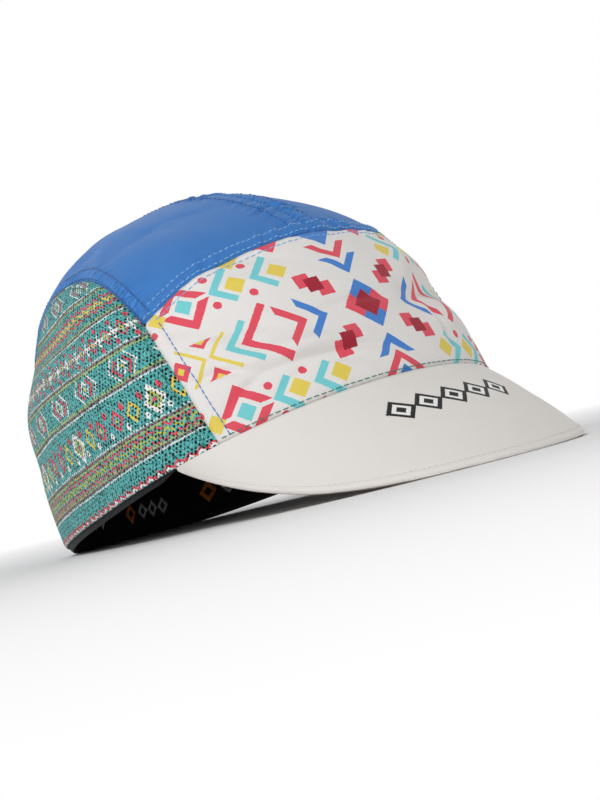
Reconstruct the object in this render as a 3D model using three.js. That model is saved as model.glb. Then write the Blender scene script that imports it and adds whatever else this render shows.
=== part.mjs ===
// Cycling cap: a soft cloth crown of five panels with a short peak and an inner sweatband. It rests on a
// surface, on the front edge of its peak and on the back of its rim. Millimetres, +Z up, front towards -Y,
// the wearer's left towards +X, origin below the middle of its box.
//
// The crown is drawn in the cap's own frame, with its rim near z = 0, and is turned onto the surface
// afterwards. A place on it is a chart point: across and along run from -1 to 1, the rim is the unit circle
// and the crown's middle is (0, 0). Tables hold their lengths as shares of the named sizes.
import * as THREE from "three";

// Crown
const RIM_HALF_WIDTH = 78;
const FRONT_REACH = 87.3;
const BACK_REACH = 115;
const CROWN_HEIGHT = 106.9;
const RIM_WAVE = 2.9; // the rim is this much higher at front and back than the mean, and lower at the sides
const BACK_FULLNESS = 0.18; // how much of its distance behind the middle a top point is raised by
const RIM_TAPER = -0.17; // change of the rim's width over one half width towards the back, as a share
const TOP_TAPER = 0.085;
const BACK_SQUARENESS = 2.4; // power of the rim's rounded outline behind the middle, 2 being an ellipse

// Cloth, band and peak
const CLOTH_WALL = 1.2;
const BAND_WALL = 1.6;
const BAND_HEIGHT = 16;
const BAND_SHOW = 2; // how far the band shows below the cloth, away from the peak
const SEAM_GAP = 0.3;
const PEAK_WALL = 1.2;
const PEAK_LENGTH = 43.7; // from the middle of the rim's front, measured forwards
const PEAK_DROP = 40.4; // of the middle of the peak's edge, below its corners
const PEAK_SIDE_DROP = 22; // how much lower than an even curve the edge hangs near the corners
const PEAK_END = 2; // height of the peak's blunt ends
const PEAK_ARCH = 2; // how far the peak bows up between its root and its edge
const PEAK_FLARE = 0.076; // how much wider than an even curve the edge is beside its middle, as a share
const PEAK_BROADNESS = 0.1; // how much further forward than an even curve the edge's sides are, as a share
const PEAK_CORNER_ANGLE = 64.8; // degrees from the front, round the rim
const BAND_EASE = 9; // degrees over which the band comes down behind the peak's corner
const FRONT_SEAM_ANGLE = 51.5;
const FOLD_DEPTH = 4;
const FOLDS_FREE = 2.8; // how many times the band's height above the rim the folds have their full depth
const REST_FLATTENING = 0.9; // how far the lowest cloth is pressed flat where the cap rests

// The crown's outline at equal steps of rise from rim to top, as shares of its half width and of its reach.
const SECTIONS = [
  { width: 1.0, front: 1.0, back: 1.0 },
  { width: 1.044, front: 0.982, back: 0.962 },
  { width: 1.111, front: 1.022, back: 0.974 },
  { width: 1.145, front: 1.06, back: 0.984 },
  { width: 1.078, front: 1.054, back: 0.993 },
  { width: 1.0, front: 1.0, back: 1.0 },
];

// The seam between the blue top and a side panel, from the front panel back to the rim, in chart shares.
const SIDE_SEAM = [
  { across: 0.57, along: -0.297 },
  { across: 0.461, along: -0.069 },
  { across: 0.388, along: 0.13 },
  { across: 0.356, along: 0.4 },
  { across: 0.343, along: 0.67 },
  { across: 0.34, along: Math.sqrt(1 - 0.34 ** 2) },
];
const TOP_SEAM_SHARE = 0.505; // share of the way to the rim at which the top seam crosses the middle
const SIDE_SEAM_SPLIT = 0.45; // share of the side seam that is the side panel's upper edge, not its back

// Dents (depth below 0) and folds: middle, length, width and turn in the chart, depth as a share of
// FOLD_DEPTH.
const FOLDS = [
  { across: -0.5, along: 0.27, length: 0.22, width: 0.1, turn: 62, depth: -1.0 },
  { across: -0.55, along: 0.52, length: 0.25, width: 0.1, turn: 48, depth: 0.5 },
  { across: 0.36, along: -0.65, length: 0.2, width: 0.06, turn: 32, depth: -0.9 },
  { across: 0.42, along: -0.52, length: 0.2, width: 0.07, turn: 32, depth: 0.35 },
  { across: -0.5, along: -0.5, length: 0.18, width: 0.05, turn: -66, depth: -0.4 },
  { across: -0.58, along: -0.53, length: 0.18, width: 0.05, turn: -62, depth: 0.3 },
  { across: 0.45, along: 0.6, length: 0.26, width: 0.08, turn: -40, depth: -0.6 },
];

// Faces of each grid
const FRONT_STEPS = [36, 11];
const SIDE_STEPS = [22, 15];
const TOP_STEPS = [9, 28];
const PEAK_STEPS = [36, 8];
const BAND_STEPS = [72, 3];

const MATERIALS = {
  front: { color: 0xe4e0dc, roughness: 0.85, metalness: 0 },
  top: { color: 0x4a82c6, roughness: 0.75, metalness: 0 },
  mesh: { color: 0x4fb0ae, roughness: 0.85, metalness: 0 },
  band: { color: 0x17181b, roughness: 0.8, metalness: 0 },
  peak: { color: 0xe6e2dc, roughness: 0.8, metalness: 0 },
  lining: { color: 0xafa094, roughness: 0.85, metalness: 0 },
};

const QUARTER = Math.PI / 2;
const RISE_PER_MM = 1 / (CROWN_HEIGHT * QUARTER); // share of the rise for a millimetre up the wall at the rim
const CHART_STEP = 1e-4;

// A smooth curve through the rows of a table, read at a share of its length.
function along(rows, column, share) {
  const last = rows.length - 1;
  const place = share * last;
  const row = Math.min(Math.max(Math.floor(place), 0), last - 1);
  const t = place - row;
  const here = rows[row][column];
  const next = rows[row + 1][column];
  const before = row > 0 ? rows[row - 1][column] : 2 * here - next;
  const after = row < last - 1 ? rows[row + 2][column] : 2 * next - here;
  const bend = 2 * before - 5 * here + 4 * next - after;
  const turn = 3 * here - before - 3 * next + after;
  return 0.5 * (2 * here + (next - before) * t + bend * t * t + turn * t ** 3);
}

// The plain crown at a chart point: its outer surface without folds.
function crownAt(across, back) {
  const radius = Math.max(Math.hypot(across, back), 1e-9);
  const rise = 1 - radius;
  const sine = across / radius;
  const cosine = -back / radius;
  const squareness = 2 + (cosine > 0 ? 0 : BACK_SQUARENESS - 2) * (1 - rise);
  const outline = (Math.abs(sine) ** squareness + Math.abs(cosine) ** squareness) ** (-1 / squareness);
  const spread = Math.cos(rise * QUARTER) * outline;
  const frontReach = FRONT_REACH * along(SECTIONS, "front", rise);
  const backReach = BACK_REACH * along(SECTIONS, "back", rise);
  const y = -(cosine > 0 ? frontReach : backReach) * cosine * spread;
  const taper = RIM_TAPER * (1 - rise) + TOP_TAPER * rise;
  const halfWidth = RIM_HALF_WIDTH * along(SECTIONS, "width", rise) * (1 + (taper * y) / RIM_HALF_WIDTH);
  const x = halfWidth * spread * sine;
  const wave = RIM_WAVE * (cosine ** 2 - sine ** 2) * (1 - rise) ** 2;
  const z = (CROWN_HEIGHT + BACK_FULLNESS * y) * Math.sin(rise * QUARTER) + wave;
  return new THREE.Vector3(x, y, z);
}

// How far the folds push the cloth out at a chart point, in millimetres. Over the band it lies smooth.
function foldAt(across, back) {
  const bandTop = BAND_HEIGHT * RISE_PER_MM;
  const free = THREE.MathUtils.smoothstep(1 - Math.hypot(across, back), bandTop, FOLDS_FREE * bandTop);
  let push = 0;
  for (const fold of FOLDS) {
    const turn = THREE.MathUtils.degToRad(fold.turn);
    const dx = across - fold.across;
    const dy = back - fold.along;
    const lengthwise = (dx * Math.cos(turn) + dy * Math.sin(turn)) / fold.length;
    const sidewise = (dy * Math.cos(turn) - dx * Math.sin(turn)) / fold.width;
    push += free * fold.depth * FOLD_DEPTH * Math.exp(-(lengthwise ** 2) - sidewise ** 2);
  }
  return push;
}

// A point of the cloth: at a chart point, a depth in from the outer surface.
function cloth(place, depth) {
  const here = crownAt(place.x, place.y);
  const acrossStep = crownAt(place.x + CHART_STEP, place.y).sub(here);
  const backStep = crownAt(place.x, place.y + CHART_STEP).sub(here);
  const normal = acrossStep.cross(backStep).normalize();
  return here.addScaledVector(normal, foldAt(place.x, place.y) - depth);
}

// A chart point on a circle round the crown: angle in degrees from the front, rise as a share.
function onCircle(angle, rise) {
  const turn = THREE.MathUtils.degToRad(angle);
  return new THREE.Vector2(Math.sin(turn), -Math.cos(turn)).multiplyScalar(1 - rise);
}

function sideSeam(share) {
  return new THREE.Vector2(along(SIDE_SEAM, "across", share), along(SIDE_SEAM, "along", share));
}

// The front panel's top seam, from one side seam (-1) over the middle (0) to the other (1).
function topSeam(share) {
  const corner = SIDE_SEAM[0];
  const back = THREE.MathUtils.lerp(-TOP_SEAM_SHARE, corner.along, share ** 2);
  return new THREE.Vector2(corner.across * share, back);
}

// The seam between the front panel and a side panel, straight in the chart, from the rim up.
function frontSeam(share) {
  return onCircle(FRONT_SEAM_ANGLE, 0).lerp(sideSeam(0), share);
}

function mirrored(place) {
  return new THREE.Vector2(-place.x, place.y);
}

// Chart points of a patch between four curves: low and high run with i, start and end run with j.
function patch(low, high, start, end, [columns, rows]) {
  const grid = [];
  for (let j = 0; j <= rows; j++) {
    const v = j / rows;
    const line = [];
    for (let i = 0; i <= columns; i++) {
      const u = i / columns;
      const place = new THREE.Vector2();
      place.addScaledVector(low(u), 1 - v).addScaledVector(high(u), v);
      place.addScaledVector(start(v), 1 - u).addScaledVector(end(v), u);
      place.addScaledVector(low(0), -(1 - u) * (1 - v)).addScaledVector(low(1), -u * (1 - v));
      place.addScaledVector(high(0), -(1 - u) * v).addScaledVector(high(1), -u * v);
      line.push(place);
    }
    grid.push(line);
  }
  return grid;
}

// Draws one edge of a patch in by half of the gap that a seam leaves between two pieces of cloth.
function drawIn(grid, edge) {
  const rows = grid.length - 1;
  const columns = grid[0].length - 1;
  const sideways = edge === "start" || edge === "end";
  const count = sideways ? rows : columns;
  const at = {
    start: (k, inner) => [k, inner],
    end: (k, inner) => [k, columns - inner],
    low: (k, inner) => [inner, k],
    high: (k, inner) => [rows - inner, k],
  }[edge];
  const chartAt = (k, inner) => {
    const [j, i] = at(k, inner);
    return grid[j][i];
  };
  const moved = [];
  for (let k = 0; k <= count; k++) {
    const before = cloth(chartAt(Math.max(k - 1, 0), 0), 0);
    const run = cloth(chartAt(Math.min(k + 1, count), 0), 0).sub(before).normalize();
    const inward = cloth(chartAt(k, 1), 0).sub(cloth(chartAt(k, 0), 0));
    const width = inward.cross(run).length();
    moved.push(chartAt(k, 0).clone().lerp(chartAt(k, 1), SEAM_GAP / 2 / width));
  }
  for (let k = 0; k <= count; k++) chartAt(k, 0).copy(moved[k]);
}

// The peak's upper surface: across from -1 to 1, out from 0 at the rim to 1 at its edge.
function peakAt(across, out) {
  const root = cloth(onCircle(across * PEAK_CORNER_ANGLE, -SEAM_GAP * RISE_PER_MM), 0);
  const corner = cloth(onCircle(PEAK_CORNER_ANGLE, -SEAM_GAP * RISE_PER_MM), 0);
  const sine = Math.sin(across * QUARTER);
  const cosine = Math.cos(across * QUARTER);
  const sideDrop = (PEAK_SIDE_DROP * sine ** 2 * (1 + sine ** 2)) / 2;
  const edge = new THREE.Vector3(
    corner.x * sine * (1 + PEAK_FLARE * cosine - 2 * PEAK_FLARE * cosine ** 2),
    THREE.MathUtils.lerp(corner.y, -FRONT_REACH - PEAK_LENGTH, cosine * (1 + PEAK_BROADNESS * sine ** 2)),
    corner.z - PEAK_END - (PEAK_DROP - PEAK_END + sideDrop) * cosine,
  );
  const arch = 4 * PEAK_ARCH * out * (1 - out) * cosine;
  const place = root.lerp(edge, out);
  place.z += arch;
  return place;
}

// A point of one of the peak's layers, a depth below its upper surface.
function peakCloth(across, out, depth) {
  const here = peakAt(across, out);
  const acrossStep = peakAt(across + CHART_STEP, out).sub(peakAt(across - CHART_STEP, out));
  const outStep = peakAt(across, out + CHART_STEP).sub(peakAt(across, out - CHART_STEP));
  const normal = outStep.cross(acrossStep).normalize();
  return here.addScaledVector(normal, -depth);
}

// Turns the cap from its own frame onto the surface: it tips back until the peak's edge and back rim touch.
function tippedBack(place) {
  return place.applyAxisAngle(TIP_AXIS, -TIP);
}
const TIP_AXIS = new THREE.Vector3(1, 0, 0);
const FRONT_CONTACT = peakCloth(0, 1, 2 * PEAK_WALL + SEAM_GAP);
const BACK_CONTACT = cloth(onCircle(180, -BAND_SHOW * RISE_PER_MM), CLOTH_WALL + SEAM_GAP);
const TIP = Math.atan2(BACK_CONTACT.z - FRONT_CONTACT.z, BACK_CONTACT.y - FRONT_CONTACT.y);
const SURFACE = tippedBack(BACK_CONTACT.clone()).z + REST_FLATTENING;

function rested(place) {
  const turned = tippedBack(place);
  turned.z = Math.max(turned.z - SURFACE, 0);
  return turned;
}

// A closed solid from two faces of points, rows by columns, joined round their edges. A ring's columns close.
function sheet(outer, inner, ring = false) {
  const rows = outer.length;
  const columns = outer[0].length;
  const vertices = [...outer.flat(), ...inner.flat()].flatMap((point) => [point.x, point.y, point.z]);
  const across = ring ? columns : columns - 1;
  const indexOf = (face, j, i) => face * rows * columns + j * columns + (i % columns);
  const faces = [];
  const quad = (a, b, c, d) => faces.push(a, b, c, a, c, d);
  for (let j = 0; j < rows - 1; j++) {
    for (let i = 0; i < across; i++) {
      quad(indexOf(0, j, i), indexOf(0, j, i + 1), indexOf(0, j + 1, i + 1), indexOf(0, j + 1, i));
      quad(indexOf(1, j, i), indexOf(1, j + 1, i), indexOf(1, j + 1, i + 1), indexOf(1, j, i + 1));
    }
  }
  for (let i = 0; i < across; i++) {
    quad(indexOf(0, 0, i), indexOf(1, 0, i), indexOf(1, 0, i + 1), indexOf(0, 0, i + 1));
    const j = rows - 1;
    quad(indexOf(0, j, i), indexOf(0, j, i + 1), indexOf(1, j, i + 1), indexOf(1, j, i));
  }
  for (let j = 0; j < rows - 1 && !ring; j++) {
    const end = columns - 1;
    quad(indexOf(0, j, 0), indexOf(0, j + 1, 0), indexOf(1, j + 1, 0), indexOf(1, j, 0));
    quad(indexOf(0, j, end), indexOf(1, j, end), indexOf(1, j + 1, end), indexOf(0, j + 1, end));
  }
  const geometry = new THREE.BufferGeometry();
  geometry.setAttribute("position", new THREE.Float32BufferAttribute(vertices, 3));
  geometry.setIndex(faces);
  if (volumeOf(vertices, faces) < 0) geometry.setIndex(faces.reverse());
  geometry.computeVertexNormals();
  return geometry;
}

function volumeOf(vertices, faces) {
  const corner = (k) => new THREE.Vector3().fromArray(vertices, 3 * faces[k]);
  let six = 0;
  for (let k = 0; k < faces.length; k += 3) six += corner(k).dot(corner(k + 1).cross(corner(k + 2)));
  return six / 6;
}

function piece(name, geometry, material) {
  const mesh = new THREE.Mesh(geometry, new THREE.MeshStandardMaterial(MATERIALS[material]));
  mesh.name = name;
  return mesh;
}

// A crown panel: its patch of the chart, drawn in at the edges that are sewn, with the cloth's thickness.
function panel(grid, sewnEdges) {
  sewnEdges.forEach((edge) => drawIn(grid, edge));
  const face = (depth) => grid.map((line) => line.map((place) => rested(cloth(place, depth))));
  return sheet(face(0), face(CLOTH_WALL));
}

function frontPanel() {
  const grid = patch(
    (u) => onCircle((2 * u - 1) * FRONT_SEAM_ANGLE, 0),
    (u) => topSeam(2 * u - 1),
    (v) => mirrored(frontSeam(v)),
    (v) => frontSeam(v),
    FRONT_STEPS,
  );
  return piece("front_panel", panel(grid, ["start", "end", "high"]), "front");
}

// Angle round the rim, from the front, at which the side seam ends.
const BACK_SEAM_ANGLE = THREE.MathUtils.radToDeg(Math.atan2(sideSeam(1).x, -sideSeam(1).y));

function sidePanel(name, flip) {
  const grid = patch(
    (u) => onCircle(THREE.MathUtils.lerp(FRONT_SEAM_ANGLE, BACK_SEAM_ANGLE, u), 0),
    (u) => sideSeam(SIDE_SEAM_SPLIT * u),
    (v) => frontSeam(v),
    (v) => sideSeam(THREE.MathUtils.lerp(1, SIDE_SEAM_SPLIT, v)),
    SIDE_STEPS,
  );
  const placed = flip ? grid.map((line) => line.map(mirrored)) : grid;
  return piece(name, panel(placed, ["start", "high", "end"]), "mesh");
}

function topPanel(name, flip) {
  const middle = (v) => new THREE.Vector2(0, THREE.MathUtils.lerp(-TOP_SEAM_SHARE, 1, v));
  const grid = patch(
    (u) => topSeam(u),
    (u) => onCircle(THREE.MathUtils.lerp(180, BACK_SEAM_ANGLE, u), 0),
    middle,
    sideSeam,
    TOP_STEPS,
  );
  const placed = flip ? grid.map((line) => line.map(mirrored)) : grid;
  return piece(name, panel(placed, ["start", "end", "low"]), "top");
}

// The band follows the inside of the cloth from a little below the rim up. Over the peak it stops at the rim.
function sweatband() {
  const [columns, rows] = BAND_STEPS;
  const face = (depth) => {
    const lines = [];
    for (let j = 0; j <= rows; j++) {
      const line = [];
      for (let i = 0; i < columns; i++) {
        const angle = (360 * i) / columns;
        const pastCorner = Math.min(angle, 360 - angle) - PEAK_CORNER_ANGLE;
        const show = BAND_SHOW * THREE.MathUtils.smoothstep(pastCorner, 0, BAND_EASE);
        const height = THREE.MathUtils.lerp(-show, BAND_HEIGHT, j / rows);
        line.push(rested(cloth(onCircle(angle, height * RISE_PER_MM), depth)));
      }
      lines.push(line);
    }
    return lines;
  };
  const outside = CLOTH_WALL + SEAM_GAP;
  return piece("sweatband", sheet(face(outside), face(outside + BAND_WALL), true), "band");
}

function peakLayer(name, depth, material) {
  const [columns, rows] = PEAK_STEPS;
  const face = (under) => {
    const lines = [];
    for (let j = 0; j <= rows; j++) {
      const line = [];
      for (let i = 0; i <= columns; i++) {
        line.push(rested(peakCloth((2 * i) / columns - 1, j / rows, under)));
      }
      lines.push(line);
    }
    return lines;
  };
  return piece(name, sheet(face(depth), face(depth + PEAK_WALL)), material);
}

const crown = new THREE.Group();
crown.add(frontPanel());
crown.add(topPanel("top_panel_left", false), topPanel("top_panel_right", true));
crown.add(sidePanel("side_panel_left", false), sidePanel("side_panel_right", true));
crown.add(sweatband());

const peak = new THREE.Group();
peak.add(peakLayer("peak_top", 0, "peak"));
peak.add(peakLayer("peak_under", PEAK_WALL + SEAM_GAP, "lining"));

const cap = new THREE.Group();
cap.add(crown, peak);

// The origin is moved below the middle of the whole cap's box.
const box = new THREE.Box3().setFromObject(cap);
const centre = box.getCenter(new THREE.Vector3());
cap.position.set(-centre.x, -centre.y, -box.min.z);

const object = new THREE.Group();
object.add(cap);
export default object;
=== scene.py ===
"""Looks of a cycling cap: printed front panel, blue top, patterned mesh sides, peak and sweatband.

The crown is drawn as its solids are: in the cap's own frame, in millimetres, on a chart whose rim is
the unit circle and whose middle is the crown's middle. The cap is then tipped back onto the floor.
"""

from functools import partialmethod
import math

import bpy
import numpy as np
from mathutils import Matrix, Vector


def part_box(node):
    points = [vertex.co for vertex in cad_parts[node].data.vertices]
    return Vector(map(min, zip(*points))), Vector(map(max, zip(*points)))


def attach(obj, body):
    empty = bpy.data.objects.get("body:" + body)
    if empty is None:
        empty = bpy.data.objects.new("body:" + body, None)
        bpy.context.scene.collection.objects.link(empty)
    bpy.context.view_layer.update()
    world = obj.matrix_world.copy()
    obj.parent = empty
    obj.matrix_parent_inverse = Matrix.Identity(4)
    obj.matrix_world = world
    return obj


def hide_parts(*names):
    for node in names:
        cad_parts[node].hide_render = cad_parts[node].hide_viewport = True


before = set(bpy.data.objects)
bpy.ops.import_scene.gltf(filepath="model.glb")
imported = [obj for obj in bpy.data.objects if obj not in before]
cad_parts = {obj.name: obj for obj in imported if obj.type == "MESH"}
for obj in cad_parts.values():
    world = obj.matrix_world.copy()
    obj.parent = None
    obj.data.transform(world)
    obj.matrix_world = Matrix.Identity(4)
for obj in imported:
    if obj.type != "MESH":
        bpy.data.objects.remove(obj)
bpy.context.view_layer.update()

# Sizes of the crown, cloth and peak in millimetres, as the solids have them
RIM_HALF_WIDTH = 78
FRONT_REACH = 87.3
BACK_REACH = 115
CROWN_HEIGHT = 106.9
RIM_WAVE = 2.9
BACK_FULLNESS = 0.18
RIM_TAPER = -0.17
TOP_TAPER = 0.085
BACK_SQUARENESS = 2.4
CLOTH_WALL = 1.2
BAND_WALL = 1.6
BAND_HEIGHT = 16
BAND_SHOW = 2
SEAM_GAP = 0.3
PEAK_WALL = 1.2
PEAK_THICKNESS = 2 * PEAK_WALL + SEAM_GAP
PEAK_LENGTH = 43.7
PEAK_DROP = 40.4
PEAK_SIDE_DROP = 22
PEAK_END = 2
PEAK_ARCH = 2
PEAK_FLARE = 0.076
PEAK_BROADNESS = 0.1
PEAK_CORNER_ANGLE = 64.8
BAND_EASE = 9
FRONT_SEAM_ANGLE = 51.5
FOLD_DEPTH = 4
FOLDS_FREE = 2.8
REST_FLATTENING = 0.9
TOP_SEAM_SHARE = 0.505
SIDE_SEAM_SPLIT = 0.45

# The crown's outline at equal steps of rise: shares of its half width, front reach and back reach
SECTIONS = np.array([
    (1.0, 1.0, 1.0),
    (1.044, 0.982, 0.962),
    (1.111, 1.022, 0.974),
    (1.145, 1.06, 0.984),
    (1.078, 1.054, 0.993),
    (1.0, 1.0, 1.0),
])

# The seam between the blue top and a side panel, from the front panel back to the rim: across, along
SIDE_SEAM = np.array([
    (0.57, -0.297),
    (0.461, -0.069),
    (0.388, 0.13),
    (0.356, 0.4),
    (0.343, 0.67),
    (0.34, math.sqrt(1 - 0.34 ** 2)),
])

# Dents and folds: across, along, length, width, turn in degrees, share of the fold depth
FOLDS = [
    (-0.5, 0.27, 0.22, 0.1, 62, -1.0),
    (-0.55, 0.52, 0.25, 0.1, 48, 0.5),
    (0.36, -0.65, 0.2, 0.06, 32, -0.9),
    (0.42, -0.52, 0.2, 0.07, 32, 0.35),
    (-0.5, -0.5, 0.18, 0.05, -66, -0.4),
    (-0.58, -0.53, 0.18, 0.05, -62, 0.3),
    (0.45, 0.6, 0.26, 0.08, -40, -0.6),
]

# Finer creases that only the cloth's looks need, in the same columns
CREASES = [
    (0.34, -0.68, 0.15, 0.022, 32, -0.35),
    (0.4, -0.76, 0.14, 0.04, 32, 0.4),
    (0.31, -0.83, 0.08, 0.02, 98, -0.28),
    (0.27, -0.8, 0.07, 0.03, 98, 0.18),
    (-0.52, -0.5, 0.16, 0.022, -70, -0.16),
    (-0.46, -0.6, 0.14, 0.03, -60, 0.14),
    (-0.42, -0.78, 0.26, 0.014, -28, -0.6),
    (-0.4, -0.74, 0.26, 0.024, -30, 0.45),
    (-0.24, -0.86, 0.24, 0.013, -14, -0.45),
    (-0.2, -0.83, 0.2, 0.02, -16, 0.3),
    (-0.05, -0.76, 0.2, 0.014, -4, -0.3),
    (-0.58, -0.62, 0.14, 0.012, -52, -0.5),
    (-0.5, -0.55, 0.2, 0.014, -44, -0.28),
    (-0.3, -0.45, 0.2, 0.018, -40, -0.18),
    (-0.34, -0.52, 0.18, 0.022, -36, 0.16),
    (0.05, -0.62, 0.2, 0.02, 10, 0.16),
    (0.1, -0.5, 0.18, 0.018, 30, -0.18),
    (-0.2, -0.1, 0.2, 0.03, 70, -0.16),
    (-0.28, 0.2, 0.24, 0.03, 100, 0.14),
    (0.22, 0.15, 0.24, 0.03, 80, -0.14),
    (-0.72, 0.1, 0.2, 0.03, 80, 0.16),
    (-0.78, -0.2, 0.18, 0.025, 100, -0.14),
    (-0.7, 0.4, 0.2, 0.03, 60, -0.16),
]
CREASE_LIMIT = 1.3

RISE_PER_MM = 1 / (CROWN_HEIGHT * math.pi / 2)
CHART_STEP = 1e-4
MM = 0.001


# The crown's form

def along(column, share):
    """A smooth curve through one column of a table, read at shares of its length."""
    last = len(column) - 1
    place = np.asarray(share, float) * last
    row = np.clip(np.floor(place).astype(int), 0, last - 1)
    t = place - row
    here = column[row]
    after = column[row + 1]
    before = np.where(row > 0, column[np.maximum(row - 1, 0)], 2 * here - after)
    beyond = np.where(row < last - 1, column[np.minimum(row + 2, last)], 2 * after - here)
    bend = 2 * before - 5 * here + 4 * after - beyond
    turn = 3 * here - before - 3 * after + beyond
    return 0.5 * (2 * here + (after - before) * t + bend * t ** 2 + turn * t ** 3)


def crown_at(across, back):
    """Points of the plain crown's outer surface at chart points."""
    radius = np.maximum(np.hypot(across, back), 1e-9)
    rise = 1 - radius
    sine = across / radius
    cosine = -back / radius
    squareness = 2 + np.where(cosine > 0, 0, BACK_SQUARENESS - 2) * (1 - rise)
    outline = (np.abs(sine) ** squareness + np.abs(cosine) ** squareness) ** (-1 / squareness)
    spread = np.cos(rise * math.pi / 2) * outline
    front_reach = FRONT_REACH * along(SECTIONS[:, 1], rise)
    back_reach = BACK_REACH * along(SECTIONS[:, 2], rise)
    y = -np.where(cosine > 0, front_reach, back_reach) * cosine * spread
    taper = RIM_TAPER * (1 - rise) + TOP_TAPER * rise
    half_width = RIM_HALF_WIDTH * along(SECTIONS[:, 0], rise) * (1 + taper * y / RIM_HALF_WIDTH)
    x = half_width * spread * sine
    wave = RIM_WAVE * (cosine ** 2 - sine ** 2) * (1 - rise) ** 2
    z = (CROWN_HEIGHT + BACK_FULLNESS * y) * np.sin(rise * math.pi / 2) + wave
    return np.stack([x, y, z], -1)


def ramp(value, low, high):
    """0 below low, 1 above high, smooth between."""
    t = np.clip((value - low) / (high - low), 0, 1)
    return t * t * (3 - 2 * t)


def bell(distance, reach):
    """1 at no distance, falling softly to almost nothing at twice the reach."""
    return np.exp(-(distance / reach) ** 2)


def pushed_by(folds, across, back):
    """How far folds push the cloth out at chart points, in millimetres."""
    push = np.zeros(np.broadcast(across, back).shape)
    for fold_across, fold_along, length, width, turn, depth in folds:
        angle = math.radians(turn)
        dx = across - fold_across
        dy = back - fold_along
        lengthwise = (dx * math.cos(angle) + dy * math.sin(angle)) / length
        sidewise = (dy * math.cos(angle) - dx * math.sin(angle)) / width
        push += depth * FOLD_DEPTH * np.exp(-lengthwise ** 2 - sidewise ** 2)
    return push


def folds_at(across, back):
    """The folds of the solids, which leave the cloth smooth over the band."""
    band_top = BAND_HEIGHT * RISE_PER_MM
    rise = 1 - np.hypot(across, back)
    return pushed_by(FOLDS, across, back) * ramp(rise, band_top, FOLDS_FREE * band_top)


def wrinkles_at(across, back):
    """Creases and small wrinkles. None is so deep that the cloth would sink into the band."""
    return np.maximum(pushed_by(CREASES + WRINKLES, across, back), -CREASE_LIMIT)


def unit(vectors):
    return vectors / np.linalg.norm(vectors, axis=-1, keepdims=True)


def normals_at(across, back):
    here = crown_at(across, back)
    across_step = crown_at(across + CHART_STEP, back) - here
    back_step = crown_at(across, back + CHART_STEP) - here
    return unit(np.cross(across_step, back_step))


def cloth(places, offset):
    """Points of the cloth at chart points, offset outwards by millimetres."""
    across = places[..., 0]
    back = places[..., 1]
    push = folds_at(across, back) + offset
    return crown_at(across, back) + normals_at(across, back) * push[..., None]


def on_circle(angle, rise):
    """Chart points on a circle round the crown: angle in degrees from the front, rise as a share."""
    turn = np.radians(angle)
    return np.stack([np.sin(turn), -np.cos(turn)], -1) * (1 - np.asarray(rise, float))[..., None]


def side_seam(share):
    return np.stack([along(SIDE_SEAM[:, 0], share), along(SIDE_SEAM[:, 1], share)], -1)


def top_seam(share):
    corner_across, corner_back = SIDE_SEAM[0]
    back = -TOP_SEAM_SHARE + (corner_back + TOP_SEAM_SHARE) * share ** 2
    return np.stack([corner_across * share, back], -1)


def front_seam(share):
    foot = on_circle(FRONT_SEAM_ANGLE, 0)
    return foot + (SIDE_SEAM[0] - foot) * share[:, None]


def mirrored(places):
    return places * np.array([-1, 1])


def patch(low, high, start, end, columns, rows):
    """Chart points of a patch between four curves: low and high along it, start and end up it."""
    u = np.linspace(0, 1, columns + 1)
    v = np.linspace(0, 1, rows + 1)
    low_line, high_line = low(u)[None], high(u)[None]
    start_line, end_line = start(v)[:, None], end(v)[:, None]
    u = u[None, :, None]
    v = v[:, None, None]
    sides = low_line * (1 - v) + high_line * v + start_line * (1 - u) + end_line * u
    low_corners = low_line[:, :1] * (1 - u) + low_line[:, -1:] * u
    high_corners = high_line[:, :1] * (1 - u) + high_line[:, -1:] * u
    return sides - low_corners * (1 - v) - high_corners * v


# The peak's form

def peak_at(across, out):
    """Points of the peak's upper surface: across from -1 to 1, out from 0 at the rim to 1 at its edge."""
    root = cloth(on_circle(across * PEAK_CORNER_ANGLE, np.zeros_like(across)), np.zeros_like(across))
    corner = cloth(on_circle(np.array([PEAK_CORNER_ANGLE]), np.zeros(1)), np.zeros(1))[0]
    sine = np.sin(across * math.pi / 2)
    cosine = np.cos(across * math.pi / 2)
    side_drop = PEAK_SIDE_DROP * sine ** 2 * (1 + sine ** 2) / 2
    forward = cosine * (1 + PEAK_BROADNESS * sine ** 2)
    edge = np.stack([
        corner[0] * sine * (1 + PEAK_FLARE * cosine - 2 * PEAK_FLARE * cosine ** 2),
        corner[1] + (-FRONT_REACH - PEAK_LENGTH - corner[1]) * forward,
        corner[2] - PEAK_END - (PEAK_DROP - PEAK_END + side_drop) * cosine,
    ], -1)
    place = root + (edge - root) * out[..., None]
    place[..., 2] += 4 * PEAK_ARCH * out * (1 - out) * cosine
    return place


def peak_cloth(across, out, depth):
    """Points a depth below the peak's upper surface."""
    across, out, depth = np.broadcast_arrays(across, out, depth)
    across_step = peak_at(across + CHART_STEP, out) - peak_at(across - CHART_STEP, out)
    out_step = peak_at(across, out + CHART_STEP) - peak_at(across, out - CHART_STEP)
    return peak_at(across, out) - unit(np.cross(out_step, across_step)) * depth[..., None]


# The cap's place on the floor

FRONT_CONTACT = peak_cloth(np.zeros(1), 1, PEAK_THICKNESS)[0]
BACK_CONTACT = cloth(on_circle(np.array([180.0]), -BAND_SHOW * RISE_PER_MM), -CLOTH_WALL - SEAM_GAP)[0]
TIP = math.atan2(BACK_CONTACT[2] - FRONT_CONTACT[2], BACK_CONTACT[1] - FRONT_CONTACT[1])


def tipped_back(points):
    x, y, z = np.moveaxis(points, -1, 0)
    return np.stack([x, y * math.cos(TIP) + z * math.sin(TIP), z * math.cos(TIP) - y * math.sin(TIP)], -1)


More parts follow.
